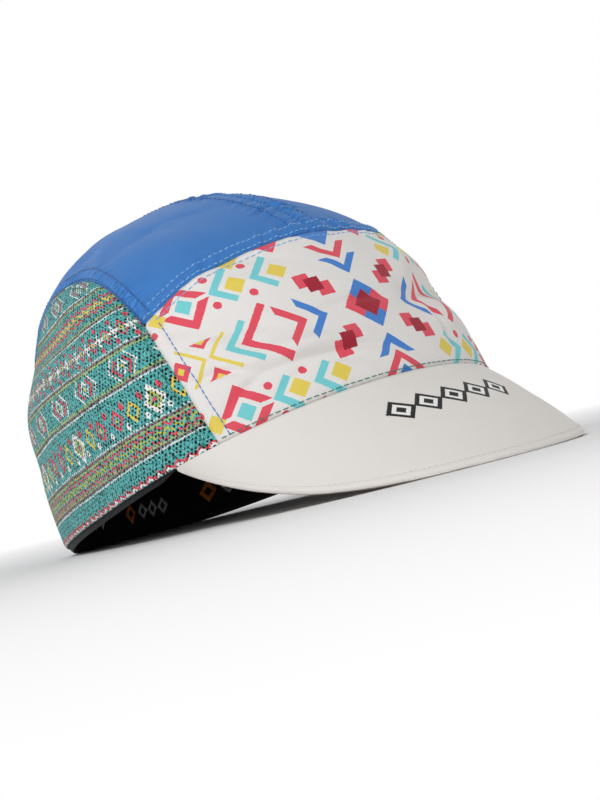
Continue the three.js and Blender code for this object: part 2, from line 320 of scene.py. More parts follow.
SURFACE = tipped_back(BACK_CONTACT)[2] + REST_FLATTENING
PEAK_BOX = np.array(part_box("peak_top")) / MM
FRONT_EDGE = tipped_back(peak_cloth(np.linspace(-1, 1, 37), 1, 0))[:, 1].min()
ORIGIN = np.array([-PEAK_BOX[:, 0].mean(), FRONT_EDGE - PEAK_BOX[0, 1], SURFACE])


def rested(points):
    """Points of the cap's own frame, in millimetres, as they lie on the floor, in metres."""
    placed = tipped_back(points) - ORIGIN
    placed[..., 2] = np.maximum(placed[..., 2], 0)
    return placed * MM


# Meshes

def new_object(name, data):
    made = bpy.data.objects.new(name, data)
    bpy.context.scene.collection.objects.link(made)
    return made


def new_piece(name, points, faces, material):
    mesh = bpy.data.meshes.new(name)
    mesh.from_pydata(points.reshape(-1, 3).tolist(), [], faces)
    mesh.polygons.foreach_set("use_smooth", np.ones(len(mesh.polygons), bool))
    mesh.update()
    mesh.materials.append(material)
    piece = new_object(name, mesh)
    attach(piece, "root")
    return piece


def grid_faces(rows, columns, start=0, ring=False):
    """Quads of a grid of rows by columns of points. A ring's last column joins its first."""
    j = np.arange(rows - 1)[:, None]
    i = np.arange(columns if ring else columns - 1)[None]
    after = (i + 1) % columns
    low = j * columns
    high = low + columns
    quads = np.stack(np.broadcast_arrays(low + i, low + after, high + after, high + i), -1)
    return quads.reshape(-1, 4) + start


def slab(name, outer, inner, texture, node, materials, ring=False):
    """A closed piece between two grids of points, in the place of a node.

    The texture is the place on the cloth, kept at each point. A second material goes on the inner grid.
    """
    rows, columns = outer.shape[:2]
    count = rows * columns
    front_faces = grid_faces(rows, columns, 0, ring)
    back_faces = grid_faces(rows, columns, count, ring)[:, ::-1]

    def wall(here, after):
        return np.stack([after, here, count + here, count + after], -1)

    i = np.arange(columns if ring else columns - 1)
    after = (i + 1) % columns
    last_row = (rows - 1) * columns
    walls = [wall(i, after), wall(last_row + i, last_row + after)[:, ::-1]]
    if not ring:
        j = np.arange(rows - 1) * columns
        last = j + columns - 1
        walls += [wall(j + columns, j), wall(last + columns, last)[:, ::-1]]
    faces = np.concatenate([front_faces, back_faces, *walls])
    points = np.concatenate([outer.reshape(-1, 3), inner.reshape(-1, 3)])
    corners = points[faces]
    volume = 0
    for k in (1, 2):
        volume += (corners[:, 0] * np.cross(corners[:, k], corners[:, k + 1])).sum()
    if volume < 0:
        faces = faces[:, ::-1]
    piece = new_piece(name, points, faces.tolist(), materials[0])
    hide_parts(node)
    if len(materials) > 1:
        piece.data.materials.append(materials[1])
        face_materials = np.zeros(len(faces), np.int32)
        face_materials[len(front_faces):len(front_faces) + len(back_faces)] = 1
        piece.data.polygons.foreach_set("material_index", face_materials)
    kept = piece.data.attributes.new("cloth_mm", "FLOAT_VECTOR", "POINT")
    doubled = np.concatenate([texture.reshape(-1, 3), texture.reshape(-1, 3)])
    kept.data.foreach_set("vector", doubled.astype(np.float32).ravel())


def grid_normals(points):
    """Unit normals of a grid of points. They may point to either side."""
    return unit(np.cross(np.gradient(points, axis=1), np.gradient(points, axis=0)))


def edge_distances(points):
    """Millimetres along the cloth from each edge of a grid: start, end, low and high."""
    across_steps = np.linalg.norm(np.diff(points, axis=1), axis=-1)
    up_steps = np.linalg.norm(np.diff(points, axis=0), axis=-1)
    across = np.concatenate([np.zeros((points.shape[0], 1)), np.cumsum(across_steps, 1)], 1)
    up = np.concatenate([np.zeros((1, points.shape[1])), np.cumsum(up_steps, 0)], 0)
    return {"start": across, "end": across[:, -1:] - across, "low": up, "high": up[-1:] - up}


# Places on the crown's cloth in millimetres: round from the front at the same rise, and up from the rim
ANGLE_STEP = 0.5
RISE_STEP = 0.0025
LOWEST_RISE = -0.03
FRONT_COLUMN = round(180 / ANGLE_STEP)
RIM_ROW = round(-LOWEST_RISE / RISE_STEP)
CHART_ANGLES = np.linspace(-180, 180, 2 * FRONT_COLUMN + 1)
CHART_RISES = np.linspace(LOWEST_RISE, 0.98, 405)
CHART_POINTS = crown_at(*np.moveaxis(on_circle(CHART_ANGLES[None], CHART_RISES[:, None]), -1, 0))


def chart_lengths(axis):
    """Millimetres over the crown along the chart's rows or columns."""
    steps = np.diff(CHART_POINTS, axis=axis, prepend=np.take(CHART_POINTS, [0], axis))
    return np.cumsum(np.linalg.norm(steps, axis=-1), axis)


CHART_ROUND = chart_lengths(1)
CHART_ROUND -= CHART_ROUND[:, FRONT_COLUMN:FRONT_COLUMN + 1]
CHART_UP = chart_lengths(0)
CHART_UP -= CHART_UP[RIM_ROW:RIM_ROW + 1]


def on_cloth(places):
    """Round and up, in millimetres, at chart points."""
    angle = np.degrees(np.arctan2(places[..., 0], -places[..., 1]))
    rise = 1 - np.hypot(places[..., 0], places[..., 1])
    i = np.clip((angle + 180) / ANGLE_STEP, 0, len(CHART_ANGLES) - 1.001)
    j = np.clip((rise - LOWEST_RISE) / RISE_STEP, 0, len(CHART_RISES) - 1.001)
    column, row = i.astype(int), j.astype(int)
    s, t = i - column, j - row
    read = []
    for table in (CHART_ROUND, CHART_UP):
        lower = table[row, column] * (1 - s) + table[row, column + 1] * s
        upper = table[row + 1, column] * (1 - s) + table[row + 1, column + 1] * s
        read.append(lower * (1 - t) + upper * t)
    return np.stack(read, -1)


def small_wrinkles(count, seed):
    """Soft wrinkles over the whole crown, in the folds' columns, the same on every run."""
    dice = np.random.default_rng(seed)
    wrinkles = []
    for _ in range(count):
        radius = math.sqrt(dice.uniform(0.02, 0.9))
        angle = dice.uniform(0, 2 * math.pi)
        length = dice.uniform(0.08, 0.2)
        width = dice.uniform(0.025, 0.06)
        turn = dice.uniform(0, 180)
        depth = dice.uniform(-0.24, 0.22)
        wrinkles.append((radius * math.cos(angle), radius * math.sin(angle), length, width, turn, depth))
    return wrinkles


WRINKLES = small_wrinkles(90, 11)
PUCKER_WAVES = 5


def pucker(place, wavelength, seed):
    """An uneven wave along a seam, about -1 to 1."""
    dice = np.random.default_rng(seed)
    wave = np.zeros_like(place)
    for _ in range(PUCKER_WAVES):
        length = wavelength * dice.uniform(0.6, 1.7)
        wave += np.sin(2 * math.pi * place / length + dice.uniform(0, 2 * math.pi))
    return wave / (PUCKER_WAVES / 2)


# A sewn edge's own measures: how far the sink reaches, where the allowance rises and how it falls past the
# row of stitches, and the row's dip
SINK_REACH = 1.1
ALLOWANCE_RISE = (0.6, 1.8)
ALLOWANCE_FALL = 1.4
ROW_DIP = 0.25
ROW_DIP_REACH = 0.7

# The hem of a panel's foot, where no seam holds it
HEM_DEPTH = 0.45
HEM_REACH = 0.7

# What stands for the distance to a seam where there is none
NO_SEAM = 99.0


def seam_form(distance, place, sink, allowance, row, wavelength, height, seed):
    """How a sewn edge moves the cloth.

    It sinks at the seam, stands over the turned allowance and dips at the row of stitches that holds it
    down, with uneven, slanting puckers between.
    """
    form = -sink * bell(distance, SINK_REACH)
    form += allowance * ramp(distance, *ALLOWANCE_RISE) * (1 - ramp(distance, row, row + ALLOWANCE_FALL))
    form -= ROW_DIP * bell(distance - row, ROW_DIP_REACH)
    unevenness = 0.6 + 0.4 * pucker(place, 7 * wavelength, seed + 100)
    waves = height * unevenness * pucker(place + 0.5 * distance, wavelength, seed)
    return form + waves * bell(distance - 0.7 * row, 0.9 * row)


def panel(name, places, node, materials, seams, own_texture=False):
    """A crown panel. Seams gives, for each sewn edge, what seam_form takes after the place.

    Returns the outer points, their normals and their distances from the edges.
    """
    across, back = np.moveaxis(places, -1, 0)
    distances = edge_distances(crown_at(across, back))
    wrinkles = wrinkles_at(across, back)
    offset = wrinkles
    nearest = np.full(offset.shape, NO_SEAM)
    for edge, sewing in seams.items():
        along_edge = distances["low"] if edge in ("start", "end") else distances["start"]
        offset = offset + seam_form(distances[edge], along_edge, *sewing)
        nearest = np.minimum(nearest, distances[edge])
    if "low" not in seams:
        offset = offset - HEM_DEPTH * bell(distances["low"], HEM_REACH)
    outer = rested(cloth(places, offset))
    inner = rested(cloth(places, wrinkles - CLOTH_WALL))
    if own_texture:
        texture = np.stack([distances["start"], distances["low"], nearest], -1)
    else:
        texture = np.concatenate([on_cloth(places), nearest[..., None]], -1)
    slab(name, outer, inner, texture, node, materials)
    normals = grid_normals(outer)
    outwards = rested(cloth(places, offset + 1)) - outer
    normals *= np.sign((normals * outwards).sum(-1, keepdims=True))
    return outer, normals, distances


def across_at(distances, values, target):
    """Values read along the rows of a grid where the distance reaches a target."""
    line = []
    for row, value in zip(distances, values):
        order = np.argsort(row)
        line.append([np.interp(target, row[order], value[order, k]) for k in range(value.shape[1])])
    return np.array(line)


# A stitch's rings of points: shares of its half length and half thickness, and points to a ring
STITCH_SHARES = np.array([-1, -0.8, -0.35, 0.35, 0.8, 1.0])
STITCH_SWELL = np.array([0.25, 0.75, 1.0, 1.0, 0.75, 0.25])
STITCH_SIDES = 6

# How far a stitch stands over the cloth at its middle, and how far it dips from there to its ends
STITCH_RISE = 0.16
STITCH_DIP = 0.3


def stitches(name, slot, made, edge, distance, *sewing):
    """A row of stitches at a distance from an edge of a grid: made is its points, normals and distances."""
    points, normals, distances = made
    away = distances[edge]
    if edge in ("low", "high"):
        points, normals, away = points.transpose(1, 0, 2), normals.transpose(1, 0, 2), away.T
    thread_row(name, slot, across_at(away, points, distance), across_at(away, normals, distance), *sewing)


def thread_row(name, slot, points, normals, colour, skip, pitch, length, thickness):
    """A row of stitches along a line, with the lengths left free at its ends.

    Each stitch is a short thread that bows up and dips into the cloth at its ends.
    """
    steps = np.linalg.norm(np.diff(points, axis=0), axis=1)
    place = np.concatenate([[0], np.cumsum(steps)]) / MM
    count = int((place[-1] - skip[0] - skip[1]) / pitch)
    centres = skip[0] + (np.arange(count) + 0.5) * pitch

    at = centres[:, None] + STITCH_SHARES * length / 2

    def read(values):
        return np.stack([np.interp(at, place, values[:, k]) for k in range(3)], -1)

    middle = read(points)
    up = unit(read(normals))
    aside = np.cross(up, unit(np.gradient(middle, axis=1)))
    middle = middle + up * (STITCH_RISE - STITCH_DIP * STITCH_SHARES ** 2)[None, :, None] * MM
    radius = STITCH_SWELL[None, :, None, None] * thickness / 2 * MM
    turn = np.linspace(0, 2 * math.pi, STITCH_SIDES, endpoint=False)[None, None, :, None]
    ring = aside[:, :, None] * np.cos(turn) + up[:, :, None] * np.sin(turn)
    rings = middle[:, :, None] + ring * radius
    per_stitch = len(STITCH_SHARES) * STITCH_SIDES
    one = grid_faces(len(STITCH_SHARES), STITCH_SIDES, 0, True)
    faces = (one[None] + np.arange(count)[:, None, None] * per_stitch).reshape(-1, 4).tolist()
    ends = [range(STITCH_SIDES - 1, -1, -1), range(per_stitch - STITCH_SIDES, per_stitch)]
    for k in range(count):
        for end in ends:
            faces.append([k * per_stitch + corner for corner in end])
    new_piece(name, rings, faces, THREADS[colour])


# Numbers that a material works out at every point

def feed(tree, value, socket):
    """Join a field or a socket to a socket, or set the socket to a plain value."""
    source = value.socket if isinstance(value, Field) else value
    if hasattr(source, "links"):
        tree.links.new(source, socket)
    else:
        socket.default_value = source


def add_node(tree, kind, inputs=(), **settings):
    """A new node with its settings, and with what feeds its inputs, by name or by number."""
    node = tree.nodes.new("ShaderNode" + kind)
    for name, value in settings.items():
        setattr(node, name, value)
    for key, value in dict(inputs).items():
        feed(tree, value, node.inputs[key])
    return node


def mixed(tree, share, below, above):
    """One colour passing into another as a share goes from 0 to 1."""
    return add_node(tree, "Mix", {0: share, 6: below, 7: above}, data_type="RGBA").outputs[2]


class Field:
    """A number worked out by a material's nodes. Sums of fields add nodes."""

    def __init__(self, tree, socket):
        self.tree = tree
        self.socket = socket

    def math(self, operation, *others, clamp=False):
        values = enumerate((self, *others))
        node = add_node(self.tree, "Math", values, operation=operation, use_clamp=clamp)
        return Field(self.tree, node.outputs[0])

    __add__ = partialmethod(math, "ADD")
    __sub__ = partialmethod(math, "SUBTRACT")
    __mul__ = partialmethod(math, "MULTIPLY")
    __truediv__ = partialmethod(math, "DIVIDE")
    __abs__ = partialmethod(math, "ABSOLUTE")
    below = partialmethod(math, "LESS_THAN")
    above = partialmethod(math, "GREATER_THAN")
    or_ = partialmethod(math, "MAXIMUM")
    sine = partialmethod(math, "SINE")

    def within(self, low, high):
        return self.above(low) * self.below(high)

    def turned(self, period):
        """How far this is from the nearest whole period, on either side."""
        return abs(self.math("WRAP", period / 2, -period / 2))


class Finish:
    """A material being made, with the place on the cloth as fields."""

    def __init__(self, name, roughness, sheen, specular, sheen_roughness=0.5):
        self.material = bpy.data.materials.new(name)
        self.material.use_nodes = True
        self.tree = self.material.node_tree
        self.shader = self.tree.nodes["Principled BSDF"]
        self.shader.inputs["Roughness"].default_value = roughness
        self.shader.inputs["Sheen Weight"].default_value = sheen
        self.shader.inputs["Sheen Roughness"].default_value = sheen_roughness
        self.shader.inputs["Specular IOR Level"].default_value = specular
        self.place = add_node(self.tree, "Attribute", attribute_name="cloth_mm").outputs["Vector"]
        parts = add_node(self.tree, "SeparateXYZ", {0: self.place}).outputs
        self.round, self.up, self.seam = [Field(self.tree, part) for part in parts]

    def noise(self, scale, detail=2, place=None):
        """A noise field from 0 to 1, with so many spots to a millimetre."""
        inputs = {"Scale": scale, "Detail": detail, "Vector": place or self.place}
        return Field(self.tree, add_node(self.tree, "TexNoise", inputs).outputs[0])

    def ragged(self, scale, detail, width):
        """A small uneven shift, so many millimetres from side to side, that keeps edges from being sharp."""
        return (self.noise(scale, detail) - 0.5) * width

    def paint(self, colour, layers):
        """Colours laid over each other: each layer is a mask and a colour."""
        for mask, above in layers:
            colour = mixed(self.tree, mask, colour, above)
        return colour

    def shade(self, colour, field, low, high):
        """Colour made darker or lighter by a field from 0 to 1."""
        source = colour if hasattr(colour, "links") else colour[:3]
        inputs = {0: source, "Scale": field * (high - low) + low}
        return add_node(self.tree, "VectorMath", inputs, operation="SCALE").outputs[0]

    def surface(self, colour, height, distance):
        """The colour, and a relief: height as a field, and the millimetres that one stands for."""
        relief = add_node(self.tree, "Bump", {"Strength": 1, "Distance": distance * MM, "Height": height})
        feed(self.tree, colour, self.shader.inputs["Base Color"])
        feed(self.tree, relief.outputs[0], self.shader.inputs["Normal"])
        return self.material


def rgb(code):
    """A shader colour from a hexadecimal screen colour."""
    channels = [int(code[k:k + 2], 16) / 255 for k in (0, 2, 4)]
    return tuple(c / 12.92 if c <= 0.04045 else ((c + 0.055) / 1.055) ** 2.4 for c in channels) + (1.0,)


OFF_WHITE = rgb("E3E0DD")
CREAM = rgb("E5E1DC")
# The peak's underside: a darker, browner copy of the cream, as painted shade
LINING_PAINTED_SHADE = rgb("B8A99B")
BLUE = rgb("3276BF")
# Lighter and darker copies of the teal: painted highlight and painted shade on the knitted loops
TEAL = rgb("5CBAB8")
TEAL_PAINTED_HIGHLIGHT = rgb("A4DAD6")
TEAL_PAINTED_SHADE = rgb("379395")
CORAL = rgb("DF4E5F")
DARK_RED = rgb("A01C30")
PRINT_BLUE = rgb("4280CC")
CYAN = rgb("74CBD1")
YELLOW = rgb("E2CB58")
WHITE = rgb("F0EFEC")
STRIPE_RED = rgb("A23A45")
LIME = rgb("B4C152")
BLACK = rgb("17181C")
# Painted shade: the dark seen through the mesh's openings
HOLE_PAINTED_SHADE = rgb("0B1C1D")
# The inside's colours are painted shade: dark, with warm brown in patches
REVERSE_PAINTED_SHADE = rgb("2A221F")
WARM_PAINTED_SHADE = rgb("4A2A1C")
ORANGE = rgb("F08A35")
PALE = rgb("EDF2F7")


def weave(finish, threads, colour, contrast, relief):
    """Fine plain weave with uneven threads, so many to a millimetre, as colour and relief."""
    turn = 2 * math.pi * threads
    warp = (finish.round * turn).sine()
    weft = (finish.up * turn).sine()
    slub = finish.noise(1.4, 3)
    grain = finish.noise(threads * 1.3)
    colour = finish.shade(colour, grain, 1 - contrast, 1 + contrast)
    colour = finish.shade(colour, slub, 1 - contrast / 2, 1 + contrast / 2)
    return finish.surface(colour, warp * weft * 0.5 + grain, relief)


# The front panel's print. Its place is measured from its own middle: x out to a side, y up or down.
PRINT_MIDDLE = 30.4
PRINT_SHIFT = 1.2

# Chevrons whose arms end square: tip x, tip y, which way the arms run in x, width of an arm, reach of the
# arm away from the middle, reach of the other arm, colour
SIDE_CHEVRONS = [
    (53.6, 0, -1, 4.1, 26.4, 26.4, CORAL),
    (59.6, 0, -1, 3.4, 19.9, 19.9, CYAN),
    (53.4, 24.0, -1, 3.8, 20.0, 14.6, CYAN),
    (37.4, 23.6, -1, 3.8, 20.0, 14.6, CYAN),
    (66.9, 0, 1, 1.9, 17.5, 17.5, YELLOW),
    (66.1, 0, -1, 1.9, 17.5, 17.5, YELLOW),
]

# Chevrons whose arms end upright: tip x, width, x of the arms' ends, colour
UPRIGHT_CHEVRONS = [
    (18.6, 3.9, 28.6, PRINT_BLUE),
    (27.2, 4.0, 37.2, CORAL),
]

# Chevrons on the middle line that open away from the medallion: tip y, width, y of the arms' ends, colour
MIDDLE_CHEVRONS = [
    (13.7, 4.0, 22.7, PRINT_BLUE),
    (20.8, 4.0, 30.6, CORAL),
    (29.4, 20.0, 42.0, PRINT_BLUE),
]

# The open square that stands round one of the diamonds: place, half diagonals, and half the gap at its sides
FRAME_PLACE = (63.8, 24.2)
FRAME_RING = (6.5, 11.2)
FRAME_GAP = 0.8

# Squares on their corners: x, y, half diagonal, colour
DIAMONDS = [
    (43.0, 23.6, 4.3, YELLOW),
    (26.2, 23.4, 4.3, YELLOW),
    (75.6, 23.8, 4.0, YELLOW),
    (39.5, 38.6, 7.4, YELLOW),
    (21.5, 41.0, 8.5, CORAL),
    (*FRAME_PLACE, 3.9, CYAN),
    (77.6, 0.0, 4.4, CORAL),
    (77.6, 0.0, 1.7, YELLOW),
]

# Upright squares: x, y, half side, colour
SQUARES = [
    (20.5, 15.3, 3.0, CORAL),
    (13.8, 10.0, 3.0, CORAL),
    (17.2, 12.7, 3.0, DARK_RED),
]

# Round dots: x, y
DOTS = [
    (38.9, 17.7),
    (53.0, 18.6),
    (36.0, 31.4),
    (51.4, 31.0),
    (79.8, 18.4),
]
DOT_RADIUS = 1.6

# The height of the blue triangle that stands on the middle of the panel's foot
FOOT_TRIANGLE = 3.3

# Triangles with one base, the later one inside the earlier: x of the tip, y of the base, then y of each tip
TRIANGLE_X = 66.0
TRIANGLE_BASE = 8.2
TRIANGLE_TIPS = [
    (3.8, CORAL),
    (6.0, YELLOW),
]

# Half diagonals of the medallion in the middle and of its heart
MEDALLION = 10.9
MEDALLION_HEART = 6.2


def chevron(x, y, tip_x, tip_y, way, width, far_reach, near_reach):
    """A mask: arms at 45 degrees from a tip, cut square at their ends."""
    out = (x - tip_x) * way
    aside = y - tip_y if tip_y else y
    spread = abs(aside)
    arm = out - spread
    length = out + spread
    mask = arm.within(0, width)
    if far_reach == near_reach:
        return mask * length.below(far_reach)
    reach = aside.above(0) * (far_reach - near_reach) + near_reach
    return mask * length.below(reach)


def printed_front():
    finish = Finish("printed_front_cloth", 0.8, sheen=0.15, specular=0.3)
    ragged = finish.ragged(2.2, 2, 0.6)
    x = abs(finish.round + PRINT_SHIFT) + ragged
    y = abs(finish.up - PRINT_MIDDLE) + ragged
    layers = []
    for *form, colour in SIDE_CHEVRONS:
        layers.append((chevron(x, y, *form), colour))
    for chevrons, out, aside in ((UPRIGHT_CHEVRONS, x, y), (MIDDLE_CHEVRONS, y, x)):
        for tip, width, end, colour in chevrons:
            layers.append(((out - aside - tip).within(0, width) * out.below(end), colour))
    layers.append(((x + finish.up).below(FOOT_TRIANGLE), PRINT_BLUE))
    frame_y = abs(y - FRAME_PLACE[1])
    ring = abs(x - FRAME_PLACE[0]) + frame_y
    layers.append((ring.within(*FRAME_RING) * frame_y.above(FRAME_GAP), CORAL))
    for middle_x, middle_y, half, colour in DIAMONDS:
        layers.append(((abs(x - middle_x) + abs(y - middle_y)).below(half), colour))
    for middle_x, middle_y, half, colour in SQUARES:
        layers.append((abs(x - middle_x).or_(abs(y - middle_y)).below(half), colour))
    for dot_x, dot_y in DOTS:
        aside = x - dot_x
        above = y - dot_y
        layers.append(((aside * aside + above * above).below(DOT_RADIUS ** 2), CORAL))
    triangle = y - abs(x - TRIANGLE_X)
    for tip, colour in TRIANGLE_TIPS:
        layers.append((triangle.above(tip) * y.below(TRIANGLE_BASE), colour))
    medallion = (x + y).below(MEDALLION)
    layers += [
        (medallion, CORAL),
        (medallion * (y - x).above(0), PRINT_BLUE),
        ((x + y).below(MEDALLION_HEART), DARK_RED),
    ]
    return weave(finish, 1.9, finish.paint(OFF_WHITE, layers), 0.09, 0.05)


# Stripes of three lines round the mesh: height of the middle line from the rim, and the colours from below,
# which turn over from one stripe to the next
MESH_STRIPES = (9.3, 18.3, 37.6, 51.2, 67.6, 82.0, 96.5)
STRIPE_COLOURS = (WHITE, STRIPE_RED, LIME)
STRIPE_PITCH = 1.05
STRIPE_HALF = 0.42
WHITE_STRIPE_HALF = 0.3

# Zigzags round the mesh: height, half height of the wave, period, half width of the line, colour
MESH_ZIGZAGS = [
    (0.6, 0.6, 5.2, 0.6, WHITE),
    (1.4, 0.8, 5.2, 0.5, CORAL),
    (11.5, 0.9, 4.2, 0.5, CORAL),
    (13.8, 1.0, 4.2, 0.65, LIME),
    (15.9, 0.9, 4.2, 0.5, CORAL),
    (72.4, 1.0, 4.6, 0.6, CORAL),
    (74.8, 1.0, 4.6, 0.8, YELLOW),
    (77.2, 1.0, 4.6, 0.6, CORAL),
]

# Nests of diamonds, the later ones over the earlier: half diagonal round, half diagonal up, colour
WHITE_NEST = ((5.4, 6.9, WHITE), (3.3, 4.2, LIME), (1.9, 2.6, TEAL), (1.1, 1.6, CORAL))
YELLOW_NEST = ((3.7, 4.8, YELLOW), (2.1, 2.8, TEAL))
CORAL_NEST = ((3.7, 4.9, CORAL), (2.2, 2.9, TEAL), (0.9, 1.2, YELLOW))
SMALL_NEST = ((3.0, 3.8, WHITE), (1.9, 2.5, TEAL), (0.9, 1.3, YELLOW))
LINKED_NEST = ((3.4, 4.2, CORAL), (2.2, 2.8, TEAL), (1.1, 1.4, YELLOW))

# Diamonds round the mesh: height, period, places of some of them, nest
MESH_DIAMONDS = [
    (26.6, 52.0, (93.7,), WHITE_NEST),
    (26.6, 52.0, (104.9, 82.5), YELLOW_NEST),
    (26.6, 52.0, (114.2, 73.2), CORAL_NEST),
    (31.0, 10.4, (99.3,), ((1.5, 2.0, CORAL),)),
    (22.2, 10.4, (99.3,), ((1.4, 1.9, WHITE),)),
    (44.2, 24.0, (99.0,), SMALL_NEST),
    (58.6, 9.0, (99.0,), LINKED_NEST),
    (63.8, 9.0, (103.5,), ((1.3, 1.5, CORAL),)),
    (53.9, 9.0, (103.5,), ((1.3, 1.5, CORAL),)),
    (89.2, 24.0, (99.0,), SMALL_NEST),
    (102.5, 16.0, (99.0,), ((3.4, 4.2, CORAL), (2.0, 2.6, TEAL))),
    (102.5, 16.0, (107.0,), ((3.4, 4.2, YELLOW), (2.0, 2.6, TEAL))),
]

# Brackets on both sides of the smaller diamonds: height, period, place, nearest and farthest reach, colour
MESH_BRACKETS = [
    (44.2, 24.0, 99.0, 4.3, 5.9, CORAL),
    (44.2, 24.0, 99.0, 7.3, 8.3, WHITE),
    (89.2, 24.0, 99.0, 4.5, 5.7, CORAL),
    (89.2, 24.0, 99.0, 7.2, 8.2, WHITE),
]

# White upright crosses between the linked diamonds: height, period, place, half length, half width of a bar
CROSS_HEIGHT = 58.6
CROSS_PERIOD = 9.0
CROSS_PLACE = 103.5
CROSS_LENGTH = 3.0
CROSS_WIDTH = 0.65

# The mesh's openings, each pair round and up: pitch, and half length of one of size 1. They drift off their
# rows by up to half the drift, and their size varies with a noise field.
HOLE_PITCH = (1.75, 1.5)
HOLE_SIZE = (0.4, 0.5)
HOLE_DRIFT = 2.4
HOLE_LEAST = -0.8
HOLE_SPREAD = 3.6


def patterned_mesh():
    finish = Finish("patterned_mesh_cloth", 0.85, sheen=0.1, specular=0.25)
    ragged = finish.ragged(1.1, 3, 1.5)
    x = abs(finish.round) + ragged
    y = finish.up + ragged
    broken = finish.noise(0.9, 3).math("MULTIPLY", 1.5, clamp=True)
    layers = []
    for stripe, middle in enumerate(MESH_STRIPES):
        for k, colour in enumerate(STRIPE_COLOURS[::-1] if stripe % 2 else STRIPE_COLOURS):
            half = WHITE_STRIPE_HALF if colour is WHITE else STRIPE_HALF
            line = abs(y - (middle + (k - 1) * STRIPE_PITCH)).below(half)
            layers.append((line * broken, colour))
    for middle, half, period, width, colour in MESH_ZIGZAGS:
        wave = x.turned(period) * (4 * half / period) - half
        layers.append((abs(y - middle - wave).below(width), colour))
    for middle, period, place, near, far, colour in MESH_BRACKETS:
        aside = (x - place).turned(period)
        reach = aside + abs(y - middle) * 0.8
        layers.append((reach.within(near, far) * aside.above(near * 0.5), colour))
    for middle, period, places, nest in MESH_DIAMONDS:
        above = abs(y - middle)
        for place in places:
            aside = (x - place).turned(period)
            for half_round, half_up, colour in nest:
                layers.append(((aside / half_round + above / half_up).below(1), colour))
    aside = (x - CROSS_PLACE).turned(CROSS_PERIOD)
    above = abs(y - CROSS_HEIGHT)
    upright = aside.below(CROSS_WIDTH) * above.below(CROSS_LENGTH)
    level = above.below(CROSS_WIDTH) * aside.below(CROSS_LENGTH)
    layers.append((upright.or_(level), WHITE))

    # Three shades of teal from one knitted loop to the next: painted highlight where the loops stand high
    # and painted shade where they sink, from the same noise as their relief
    loops = finish.noise(1.5)
    base = mixed(finish.tree, (loops - 0.38) * 5.0, TEAL_PAINTED_SHADE, TEAL)
    base = mixed(finish.tree, (loops - 0.58) * 7.0, base, TEAL_PAINTED_HIGHLIGHT)
    grain = finish.noise(2.8)
    colour = finish.shade(finish.paint(base, layers), grain, 0.7, 1.24)

    # Openings, every other row of them half a pitch on, painted dark as the shade seen through them
    rank = (finish.up / HOLE_PITCH[1]).math("ROUND")
    shift = rank.math("MODULO", 2) * (HOLE_PITCH[0] / 2)
    drift = finish.ragged(0.4, 2, HOLE_DRIFT) + ragged * 0.3
    hole_round = (finish.round + shift + drift).turned(HOLE_PITCH[0]) / HOLE_SIZE[0]
    hole_up = (finish.up + drift).turned(HOLE_PITCH[1]) / HOLE_SIZE[1]
    size = finish.noise(0.5, 3) * HOLE_SPREAD + HOLE_LEAST
    hole_painted_dark = (hole_round * hole_round + hole_up * hole_up).math("SQRT").below(size)
    colour = mixed(finish.tree, hole_painted_dark, colour, HOLE_PAINTED_SHADE)
    return finish.surface(colour, loops * 0.8 + grain * 0.5 - hole_painted_dark * 1.5, 0.35)


def painted_shade_reverse_side():
    """The inside of the crown, the cloth's reverse, painted dark as the shade inside it, with warm brown
    patches in that painted shade.
    """
    finish = Finish("reverse_cloth_painted_shade", 0.9, sheen=0.05, specular=0.2)
    patches = finish.noise(0.05, 3)
    return weave(finish, 1.2, mixed(finish.tree, (patches - 0.45) * 4.0, REVERSE_PAINTED_SHADE, WARM_PAINTED_SHADE), 0.25, 0.1)


# Fine gathers across the blue panels' seams, painted as light and dark stripes in the colour: length of one,
# reach from the seam, start past the front panel's seam, and how far the painted shade darkens and lightens
GATHER_LENGTH = 2.4
GATHER_REACH = 5.0
GATHER_START = GATHER_REACH + 1.5
GATHER_SHADE = 0.24


def blue_top():
    finish = Finish("blue_top_cloth", 0.6, sheen=0.1, sheen_roughness=0.4, specular=0.4)
    streak = finish.noise(0.12)
    # Painted shade and light of gathers: stripes darker and lighter in the colour, with no relief
    gather_painted_shade = ((finish.up + finish.noise(0.3) * 4.0) * (2 * math.pi / GATHER_LENGTH)).sine()
    shown = finish.seam.below(GATHER_REACH) * finish.up.above(GATHER_START)
    colour = finish.shade(BLUE, streak, 0.93, 1.07)
    colour = finish.shade(colour, gather_painted_shade * shown * 0.5 + 0.5, 1 - GATHER_SHADE, 1 + GATHER_SHADE)
    return weave(finish, 1.7, colour, 0.16, 0.07)


def peak_finish(name):
    return Finish(name, 0.8, sheen=0.12, specular=0.3)


def peak_weave(finish, colour):
    return weave(finish, 1.9, colour, 0.05, 0.045)


# A row of five linked diamonds across the peak: half diagonals of one round and out, period, place of the
# row from the root, and half its length. The outline and the dot in the middle are shares of a diamond.
PEAK_DIAMOND = (6.4, 7.0)
PEAK_PERIOD = 12.0
PEAK_ROW_PLACE = 22.5
PEAK_ROW_HALF = 2.5 * PEAK_PERIOD + 0.4
PEAK_OUTLINE = 0.34
PEAK_DOT = 0.34


def peak_top_cloth():
    finish = peak_finish("peak_top_cloth")
    ragged = finish.ragged(2.2, 2, 0.3)
    x = finish.round.turned(PEAK_PERIOD) + ragged
    y = abs(finish.up - PEAK_ROW_PLACE) + ragged
    shown = abs(finish.round).below(PEAK_ROW_HALF)
    reach = x / PEAK_DIAMOND[0] + y / PEAK_DIAMOND[1]
    layers = []
    for size, colour in ((1, BLACK), (1 - PEAK_OUTLINE, WHITE), (PEAK_DOT, BLACK)):
        layers.append((reach.below(size) * shown, colour))
    return peak_weave(finish, finish.paint(CREAM, layers))


